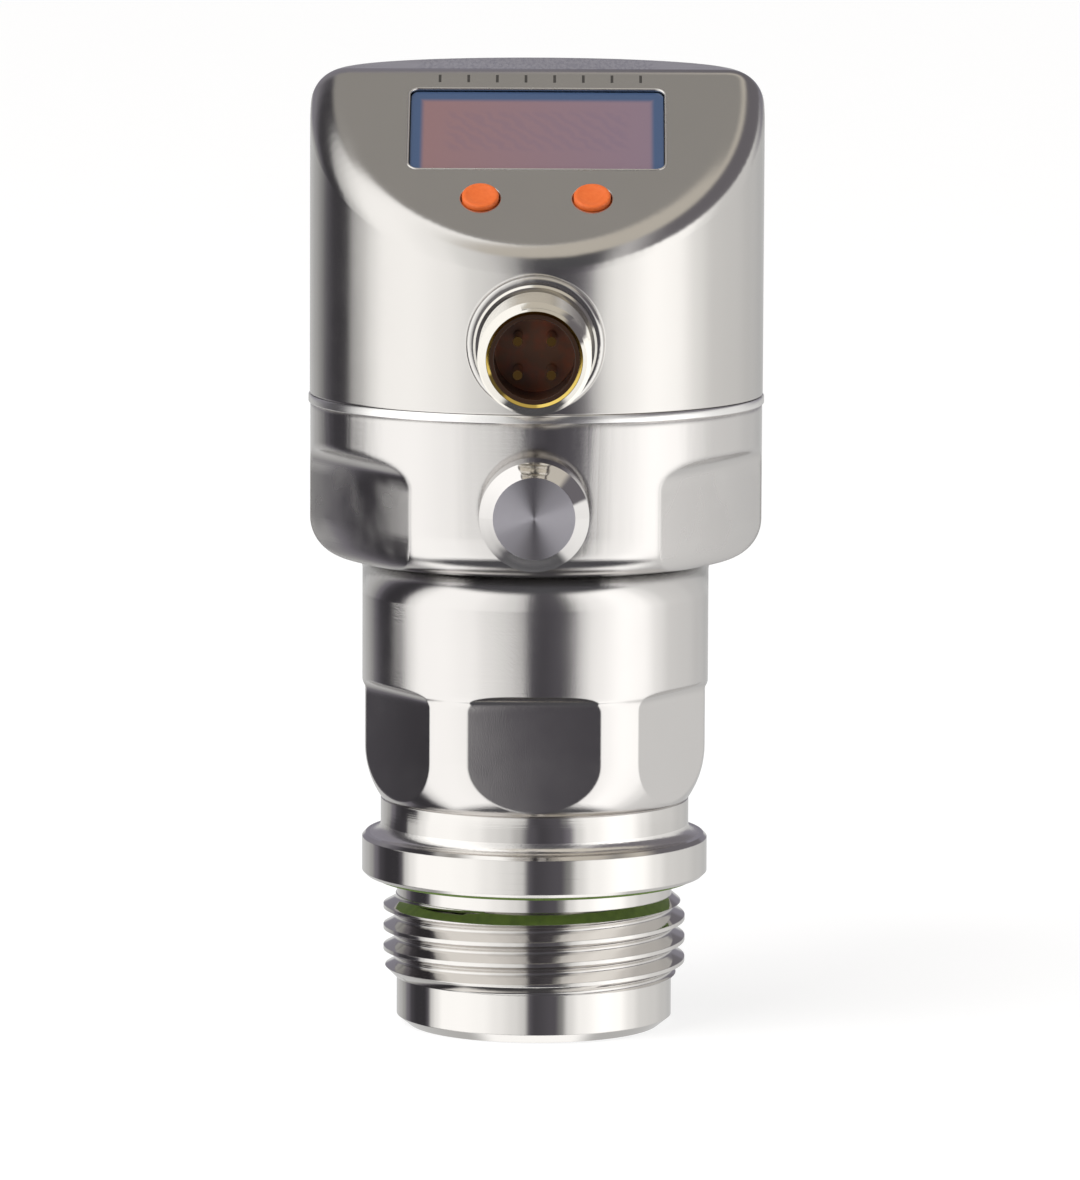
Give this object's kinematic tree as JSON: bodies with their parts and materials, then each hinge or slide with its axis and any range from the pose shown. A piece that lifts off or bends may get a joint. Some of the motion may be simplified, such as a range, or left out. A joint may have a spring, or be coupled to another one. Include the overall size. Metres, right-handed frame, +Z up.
{
  "type": "pressure transmitter",
  "caption": "Stainless pressure transmitter: turning head with sloped display face, push buttons and M12 connector, cup with capped vent, spanner flats, sealed flange and G 1 male thread.",
  "frame": {"origin": "centre of the flush lower end, on the axis of the process thread", "axes": "+Z up along the axis from the process end to the head; the display, connector and vent look to -Y; +X to the right as seen from the front"},
  "size_m": [0.05, 0.0675, 0.1052],
  "materials": {
    "process_connection": "turned stainless steel",
    "sensor_body": "turned and polished stainless steel",
    "upper_housing": "drawn stainless steel, satin face",
    "slide_ring": "polished stainless steel",
    "flange_seal": "FKM rubber",
    "measuring_cell": "alumina ceramic",
    "cell_seal": "FKM rubber",
    "cell_thrust_ring": "PEEK",
    "cell_clamp_ring": "turned stainless steel",
    "cell_board": "glass fibre board",
    "signal_lead": "PVC insulation",
    "snap_ring": "spring steel",
    "stop_pin": "hardened steel",
    "vent_sleeve": "turned stainless steel",
    "vent_membrane": "PTFE membrane",
    "vent_seal": "rubber",
    "vent_cap": "turned stainless steel, polished rim",
    "head_ring": "turned stainless steel",
    "swivel_seal": "rubber",
    "window_gasket": "silicone rubber",
    "display_window": "tinted glass",
    "display_module": "LED display block",
    "display_carrier": "PC-ABS",
    "display_board": "glass fibre board",
    "display_screws": "steel",
    "button_seals": "silicone rubber",
    "button_switches": "PA66",
    "button_left": "silicone-coated plastic",
    "button_right": "silicone-coated plastic",
    "main_board": "glass fibre board",
    "board_components": "epoxy",
    "board_carrier": "PC-ABS",
    "board_screws": "steel",
    "display_ribbon": "polyimide",
    "lead_socket": "PA66",
    "m12_shell": "turned stainless steel, polished",
    "m12_insert": "PA66, dark brown",
    "m12_seal": "FKM rubber",
    "contact_pins": "gold-plated brass"
  },
  "bodies": {
    "process": {"process_connection": "process_connection", "sensor_body": "sensor_body", "slide_ring": "slide_ring", "flange_seal": "flange_seal", "measuring_cell": "measuring_cell", "cell_seal": "cell_seal", "cell_thrust_ring": "cell_thrust_ring", "cell_clamp_ring": "cell_clamp_ring", "cell_board": "cell_board", "signal_lead": "signal_lead", "snap_ring": "snap_ring", "stop_pin": "stop_pin", "vent_sleeve": "vent_sleeve", "vent_membrane": "vent_membrane", "vent_seal": "vent_seal", "vent_cap": "vent_cap"},
    "head": {"upper_housing": "upper_housing", "head_ring": "head_ring", "swivel_seal": "swivel_seal", "window_gasket": "window_gasket", "display_window": "display_window", "display_module": "display_module", "display_carrier": "display_carrier", "display_board": "display_board", "display_screws": "display_screws", "button_seals": "button_seals", "button_switches": "button_switches", "main_board": "main_board", "board_components": "board_components", "board_carrier": "board_carrier", "board_screws": "board_screws", "display_ribbon": "display_ribbon", "lead_socket": "lead_socket", "m12_shell": "m12_shell", "m12_insert": "m12_insert", "m12_seal": "m12_seal", "contact_pins": "contact_pins"},
    "button_left": {"button_left": "button_left"},
    "button_right": {"button_right": "button_right"}
  },
  "joints": [
    {"name": "head_turn", "type": "hinge", "parent": "process", "child": "head", "pos_m": [0, 0, 0.0698], "axis": [0, 0, 1], "range_deg": [-172.5, 172.5]},
    {"name": "button_left_press", "type": "slide", "parent": "head", "child": "button_left", "axis": [0, 0.5934, -0.8049], "range_m": [0, 0.0008], "stiffness_N_per_m": 1500, "springref_m": -0.0004},
    {"name": "button_right_press", "type": "slide", "parent": "head", "child": "button_right", "axis": [0, 0.5934, -0.8049], "range_m": [0, 0.0008], "stiffness_N_per_m": 1500, "springref_m": -0.0004}
  ]
}
